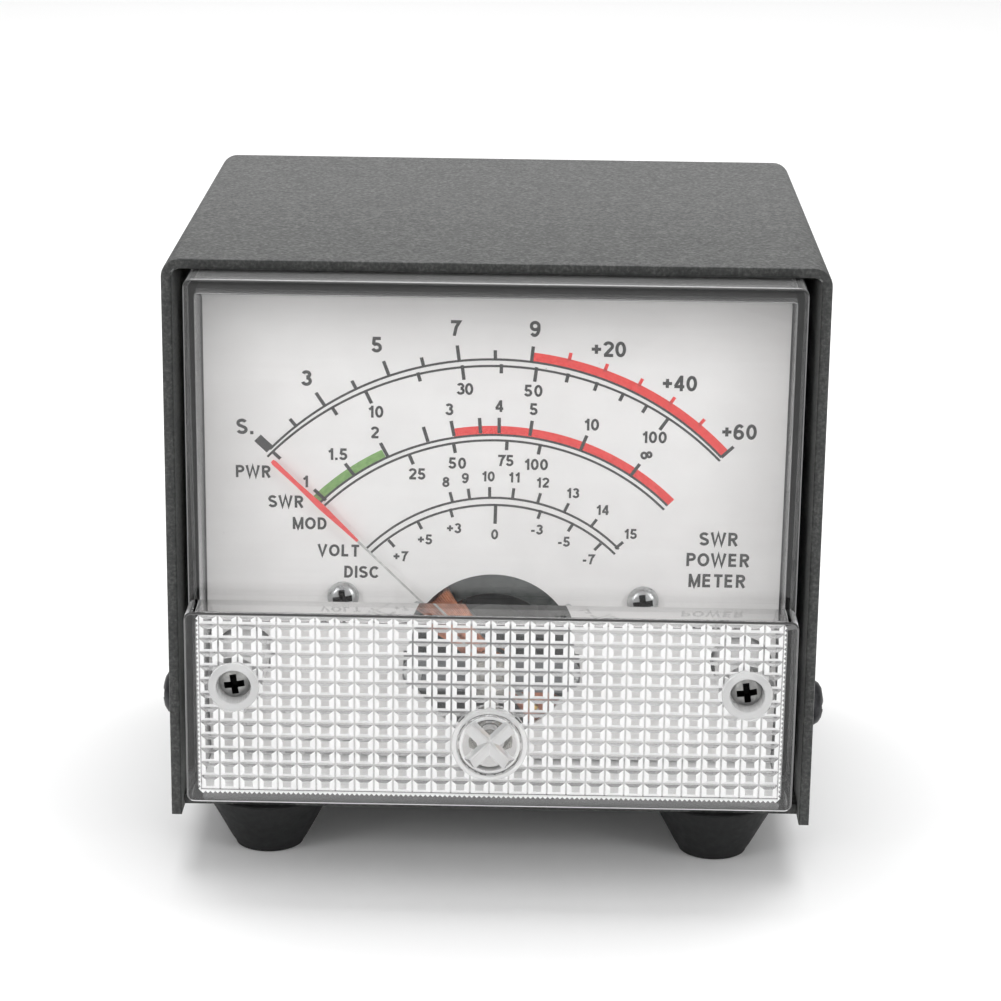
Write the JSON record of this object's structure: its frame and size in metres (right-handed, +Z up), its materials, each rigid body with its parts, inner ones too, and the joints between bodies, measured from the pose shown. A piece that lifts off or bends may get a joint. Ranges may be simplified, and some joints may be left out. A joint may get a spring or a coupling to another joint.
{
  "type": "SWR meter",
  "caption": "Bench meter with a clear-fronted moving-coil dial, swinging pointer and zero adjuster in a folded black steel case on rubber feet, with a rear metering jack.",
  "frame": {"origin": "on the surface the feet stand on, below the middle of the whole meter", "axes": "+X to the viewer's right, +Y from the dial to the back panel, +Z up"},
  "size_m": [0.0744, 0.0728, 0.0687],
  "materials": {
    "powder_coat_black": "fine-textured dark grey powder coat, slightly speckled",
    "zinc_plated_steel": "bright zinc plate",
    "black_oxide_steel": "black oxide, low gloss",
    "foot_rubber": "moulded black rubber, matt",
    "clear_plastic": "clear moulded styrene, polished",
    "black_phenolic": "black moulded phenolic",
    "printed_plate": "pale silver-white enamelled aluminium with printed scales",
    "die_cast": "as-cast zinc alloy",
    "soft_iron": "dark plated iron",
    "brass": "turned brass",
    "spring_bronze": "phosphor bronze strip",
    "copper_winding": "enamelled copper wire, varnished",
    "aluminium_former": "thin aluminium strip",
    "polished_steel": "polished hardened steel",
    "red_pointer": "red lacquered tip on bare aluminium",
    "nickel_plate": "bright nickel plate",
    "circuit_board": "glass-epoxy board with green solder mask",
    "blue_plastic": "blue moulded trimmer housing",
    "white_plastic": "white moulded plastic",
    "resistor_enamel": "tan lacquer with colour bands",
    "capacitor_sleeve": "dark blue shrink sleeve",
    "white_wire": "PVC insulation",
    "black_wire": "PVC insulation",
    "red_wire": "PVC insulation"
  },
  "bodies": {
    "case": {"top_cover": "powder_coat_black", "chassis": "powder_coat_black", "front_panel": "powder_coat_black", "panel_rivets": "zinc_plated_steel", "cover_screws": "black_oxide_steel", "foot_front_left": "foot_rubber", "foot_front_right": "foot_rubber", "foot_rear_left": "foot_rubber", "foot_rear_right": "foot_rubber", "foot_screws": "zinc_plated_steel", "foot_nuts": "zinc_plated_steel", "meter_cover": "clear_plastic", "meter_cover_screws": "black_oxide_steel", "meter_base": "black_phenolic", "mounting_studs": "zinc_plated_steel", "mounting_nuts": "zinc_plated_steel", "scale_plate": "printed_plate", "scale_screws": "zinc_plated_steel", "pointer_stops": "zinc_plated_steel", "movement_frame": "die_cast", "movement_screws": "zinc_plated_steel", "yoke_ring": "soft_iron", "core_magnet": "soft_iron", "core_posts": "zinc_plated_steel", "front_bridge": "die_cast", "rear_bridge": "die_cast", "bridge_pillars": "nickel_plate", "bridge_screws": "zinc_plated_steel", "front_jewel_screw": "nickel_plate", "rear_jewel_screw": "nickel_plate", "jewel_nuts": "nickel_plate", "rear_hairspring": "spring_bronze", "terminal_studs": "brass", "terminal_nuts": "brass", "solder_lugs": "zinc_plated_steel", "jack_bush": "nickel_plate", "jack_body": "black_phenolic", "jack_nut": "nickel_plate", "jack_contacts": "zinc_plated_steel", "calibration_board": "circuit_board", "board_spacers": "brass", "board_screws": "zinc_plated_steel", "trimmer_body": "blue_plastic", "series_resistor": "resistor_enamel", "bypass_capacitor": "capacitor_sleeve", "signal_lead": "white_wire", "ground_lead": "black_wire", "positive_lead": "red_wire", "negative_lead": "black_wire"},
    "pointer_assembly": {"moving_coil": "copper_winding", "coil_former": "aluminium_former", "front_pivot": "polished_steel", "rear_pivot": "polished_steel", "pointer": "red_pointer", "counterweight": "brass"},
    "zero_adjust_knob": {"zero_adjuster": "clear_plastic"},
    "zero_lever_arm": {"zero_lever": "nickel_plate", "front_hairspring": "spring_bronze"},
    "trimmer_wiper": {"trimmer_rotor": "white_plastic"}
  },
  "joints": [
    {"name": "pointer_swing", "type": "hinge", "parent": "case", "child": "pointer_assembly", "pos_m": [0, -0.0179, 0.0237], "axis": [0, 1, 0], "range_deg": [-1.5, 93.3], "stiffness_Nm_per_rad": 0.00002},
    {"name": "zero_adjust", "type": "hinge", "parent": "case", "child": "zero_adjust_knob", "pos_m": [0, -0.0347, 0.0185], "axis": [0, 1, 0], "range_deg": [-40, 40]},
    {"name": "zero_lever_turn", "type": "hinge", "parent": "case", "child": "zero_lever_arm", "pos_m": [0, -0.0288, 0.0237], "axis": [0, 1, 0], "range_deg": [-9, 9]},
    {"name": "calibration_trim", "type": "hinge", "parent": "case", "child": "trimmer_wiper", "pos_m": [0.016, 0.0263, 0.0253], "axis": [0, 1, 0], "range_deg": [-130, 130]}
  ],
  "couplings": [
    {"joint": "zero_lever_turn", "follows": "zero_adjust", "ratio": 0.2239}
  ]
}
